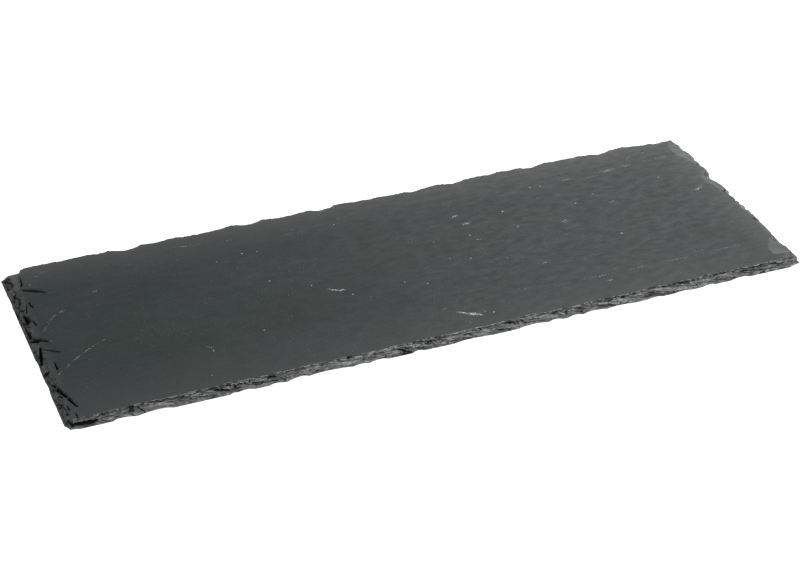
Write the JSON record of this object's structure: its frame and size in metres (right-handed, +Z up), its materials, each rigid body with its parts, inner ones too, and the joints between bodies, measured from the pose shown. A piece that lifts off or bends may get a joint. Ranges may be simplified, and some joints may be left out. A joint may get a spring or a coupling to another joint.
{
  "type": "slate slab",
  "caption": "Thin rectangular slab of natural dark grey slate with flat cleft faces and hammer-dressed, flaked, uneven edges.",
  "frame": {"origin": "centre of the underside, on the plane it rests on", "axes": "+X along the length, +Y across the width, +Z up through the thickness"},
  "size_m": [0.4004, 0.1458, 0.0043],
  "materials": {
    "slate": "natural cleft, matt"
  },
  "bodies": {
    "root": {"slate_slab": "slate"}
  },
  "joints": []
}
